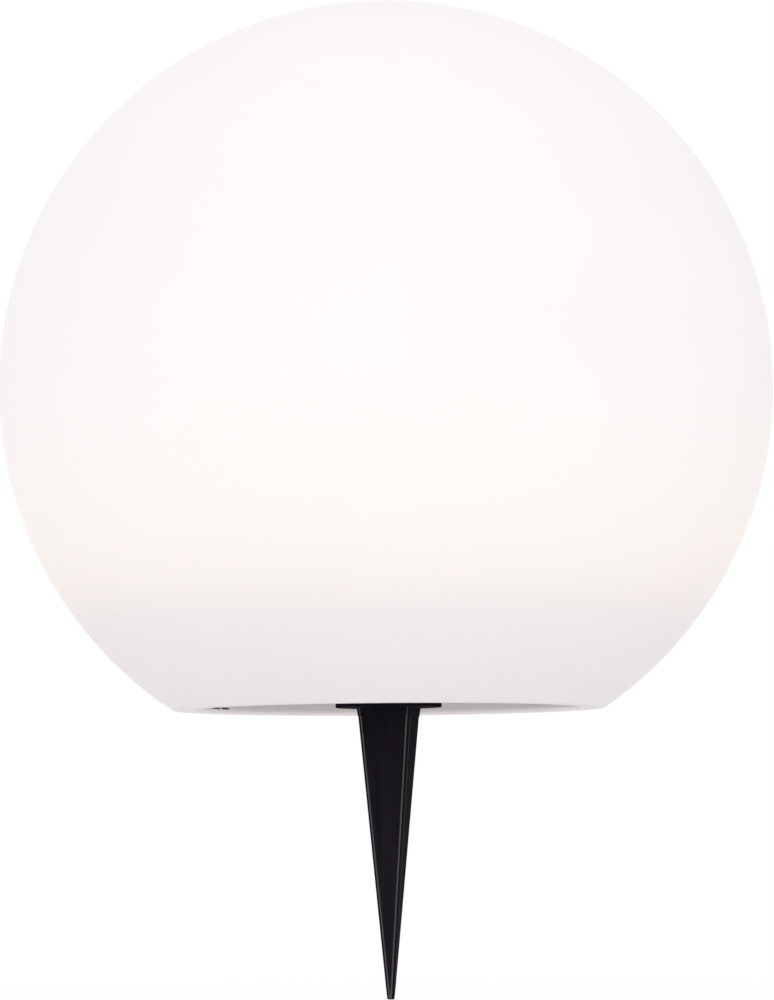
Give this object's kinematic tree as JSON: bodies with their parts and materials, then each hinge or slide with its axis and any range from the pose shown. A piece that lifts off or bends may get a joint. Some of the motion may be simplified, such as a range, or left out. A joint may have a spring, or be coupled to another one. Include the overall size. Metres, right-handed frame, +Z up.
{
  "type": "garden globe light",
  "caption": "Opal globe garden light with a flat foot ring and a tapered ground stake; the globe lifts off its base plate to reach the bulb.",
  "frame": {"origin": "centre of the foot ring's underside, on the ground line", "axes": "+Z up along the globe's axis; the faces of the square stake are square to X and Y; +X towards the terminal block"},
  "size_m": [0.4, 0.4, 0.5152],
  "materials": {
    "opal_plastic": "satin, translucent, lit from inside",
    "black_plastic": "satin moulded",
    "holder_plastic": "satin moulded",
    "terminal_plastic": "natural",
    "black_rubber": "matte",
    "brass": "satin",
    "stainless": "satin",
    "nickel": "plated",
    "bulb_plastic": "gloss white",
    "bulb_diffuser": "frosted",
    "glass_insulator": "gloss black glass",
    "board_white": "solder mask",
    "board_green": "solder mask",
    "led_phosphor": "phosphor",
    "component_black": "moulded",
    "brown_insulation": "gloss",
    "blue_insulation": "gloss"
  },
  "bodies": {
    "stake": {"ground_stake": "black_plastic"},
    "base": {"base_plate": "black_plastic", "base_gasket": "black_rubber", "base_screws": "stainless", "sealing_washers": "black_rubber", "gland_body": "black_plastic", "gland_dome_nut": "black_plastic", "gland_seal": "black_rubber", "gland_locknut": "black_plastic", "gland_washer": "black_rubber", "breather_vent": "black_plastic", "lampholder_body": "holder_plastic", "lampholder_liner": "nickel", "centre_contact": "brass", "side_contact": "brass", "holder_terminals": "brass", "lampholder_screws": "stainless", "terminal_block": "terminal_plastic", "terminal_clamps": "brass", "terminal_screws": "stainless", "block_screw": "stainless", "live_wire": "brown_insulation", "neutral_wire": "blue_insulation"},
    "globe": {"globe_shell": "opal_plastic", "threaded_inserts": "brass"},
    "bulb": {"bulb_dome": "bulb_diffuser", "bulb_housing": "bulb_plastic", "bulb_cap": "nickel", "bulb_insulator": "glass_insulator", "bulb_contact": "nickel", "driver_board": "board_green", "driver_parts": "component_black", "led_board": "board_white", "led_chips": "led_phosphor"}
  },
  "joints": [
    {"name": "base_lift", "type": "slide", "parent": "stake", "child": "base", "axis": [0, 0, 1], "range_m": [0, 0.04]},
    {"name": "globe_lift", "type": "slide", "parent": "base", "child": "globe", "axis": [0, 0, 1], "range_m": [0, 0.16]},
    {"name": "bulb_unscrew", "type": "slide", "parent": "base", "child": "bulb", "axis": [0, 0, 1], "range_m": [0, 0.032]}
  ]
}
